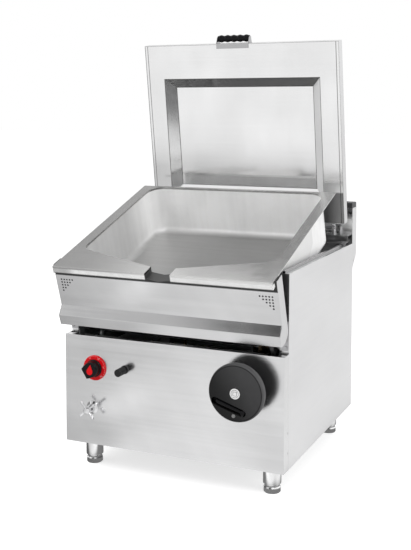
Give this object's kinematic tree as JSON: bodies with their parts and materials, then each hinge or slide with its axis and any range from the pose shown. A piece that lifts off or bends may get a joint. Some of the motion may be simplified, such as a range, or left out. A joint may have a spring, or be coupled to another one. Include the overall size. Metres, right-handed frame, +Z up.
{
  "type": "tilting skillet",
  "caption": "Free-standing gas tilting skillet with a square pan that tips forward by handwheel, a hinged lid, a rear flue and a front panel with dial, igniter and water tap.",
  "frame": {"origin": "on the floor, under the middle of the overall box, in the pose of the picture", "axes": "+X to the operator's right, +Y from the operator's side to the rear, +Z up"},
  "size_m": [0.8, 0.9312, 1.5235],
  "materials": {
    "panel_steel": "satin grain, fine lines along the sheet",
    "pan_steel": "satin, softer grain inside the vessel",
    "dark_metal": "matt heat-proof black",
    "leg_chrome": "bright",
    "black_plastic": "satin black",
    "red_plastic": "glossy red",
    "brass_fittings": "plain machined",
    "zinc_sheet": "zinc coated, dull",
    "machined_steel": "machined",
    "frame_paint": "grey primer paint",
    "valve_casting": "as cast",
    "pale_metal": "satin"
  },
  "bodies": {
    "cabinet": {"base_sheet": "zinc_sheet", "side_panel_right": "panel_steel", "side_panel_left": "panel_steel", "guide_strips": "panel_steel", "front_panel": "panel_steel", "rear_panel": "zinc_sheet", "panel_rivets": "panel_steel", "side_frames": "frame_paint", "cross_rails": "frame_paint", "leg_sockets": "leg_chrome", "trunnion_brackets": "machined_steel", "trunnion_bushes": "brass_fittings", "bracket_bolts": "machined_steel", "drive_bracket": "frame_paint", "shaft_bushes": "brass_fittings", "dial_ring": "red_plastic", "gas_valve": "valve_casting", "gas_pipes": "zinc_sheet", "gas_manifold": "zinc_sheet", "burner_tubes": "panel_steel", "burner_tray": "zinc_sheet", "igniter_barrel": "machined_steel", "tap_escutcheon": "leg_chrome", "water_valve": "brass_fittings", "water_pipes": "brass_fittings", "rear_ledge": "panel_steel", "flue_panels": "panel_steel", "flue_cheeks": "panel_steel", "flue_cap": "dark_metal", "lid_hinge_blocks": "panel_steel", "lid_hinge_pins": "machined_steel", "lid_springs": "machined_steel"},
    "pan": {"pan_vessel": "pan_steel", "pan_base_plate": "machined_steel", "pan_apron": "panel_steel", "apron_ends": "panel_steel", "pan_arms": "machined_steel", "quadrant_gear": "machined_steel"},
    "lid": {"lid_outer_skin": "panel_steel", "lid_inner_skin": "panel_steel", "lid_arms": "panel_steel", "lid_handle_bracket": "panel_steel", "lid_grip": "black_plastic"},
    "wheel": {"handwheel": "black_plastic", "handwheel_cap": "pale_metal", "worm_shaft": "machined_steel", "crank_pin": "machined_steel", "crank_stud": "pale_metal"},
    "crank": {"crank_grip": "black_plastic"},
    "cross": {"cross_shaft": "machined_steel", "worm_wheel": "brass_fittings", "pinion": "machined_steel"},
    "knob": {"thermostat_knob": "black_plastic", "knob_insert": "red_plastic"},
    "igniter": {"igniter_button": "black_plastic"},
    "tap": {"tap_handle": "leg_chrome"},
    "levelling_foot_front_left": {"foot_front_left": "leg_chrome"},
    "levelling_foot_front_right": {"foot_front_right": "leg_chrome"},
    "levelling_foot_rear_left": {"foot_rear_left": "leg_chrome"},
    "levelling_foot_rear_right": {"foot_rear_right": "leg_chrome"}
  },
  "joints": [
    {"name": "handwheel_spin", "type": "hinge", "parent": "cabinet", "child": "wheel", "pos_m": [0.2665, -0.4364, 0.359], "axis": [0, 1, 0], "range_deg": [-3333.2, 8141.7]},
    {"name": "cross_shaft_spin", "type": "hinge", "parent": "cabinet", "child": "cross", "pos_m": [0.3, -0.18224, 0.443], "axis": [1, 0, 0], "range_deg": [-272, 112]},
    {"name": "pan_tilt", "type": "hinge", "parent": "cabinet", "child": "pan", "pos_m": [0, -0.362, 0.526], "axis": [1, 0, 0], "range_deg": [-18.3, 44.7]},
    {"name": "crank_fold", "type": "hinge", "parent": "wheel", "child": "crank", "pos_m": [0.2905, -0.4469, 0.299], "axis": [0.309, 0, 0.9511], "range_deg": [0, 90]},
    {"name": "lid_hinge", "type": "hinge", "parent": "cabinet", "child": "lid", "pos_m": [0, 0.3636, 0.79], "axis": [1, 0, 0], "range_deg": [-12, 22]},
    {"name": "knob_turn", "type": "hinge", "parent": "cabinet", "child": "knob", "pos_m": [-0.283, -0.3964, 0.36], "axis": [0, 1, 0], "range_deg": [0, 270]},
    {"name": "igniter_press", "type": "slide", "parent": "cabinet", "child": "igniter", "axis": [0, 1, 0], "range_m": [0, 0.006], "stiffness_N_per_m": 450, "springref_m": -0.005},
    {"name": "tap_turn", "type": "hinge", "parent": "cabinet", "child": "tap", "pos_m": [-0.293, -0.4144, 0.221], "axis": [0, -1, 0], "range_deg": [0, 540]},
    {"name": "foot_slide_front_left", "type": "slide", "parent": "cabinet", "child": "levelling_foot_front_left", "axis": [0, 0, -1], "range_m": [-0.008, 0.02]},
    {"name": "foot_slide_front_right", "type": "slide", "parent": "cabinet", "child": "levelling_foot_front_right", "axis": [0, 0, -1], "range_m": [-0.008, 0.02]},
    {"name": "foot_slide_rear_left", "type": "slide", "parent": "cabinet", "child": "levelling_foot_rear_left", "axis": [0, 0, -1], "range_m": [-0.008, 0.02]},
    {"name": "foot_slide_rear_right", "type": "slide", "parent": "cabinet", "child": "levelling_foot_rear_right", "axis": [0, 0, -1], "range_m": [-0.008, 0.02]}
  ],
  "couplings": [
    {"joint": "cross_shaft_spin", "follows": "handwheel_spin", "ratio": -0.033333},
    {"joint": "pan_tilt", "follows": "handwheel_spin", "ratio": 0.0054902}
  ]
}
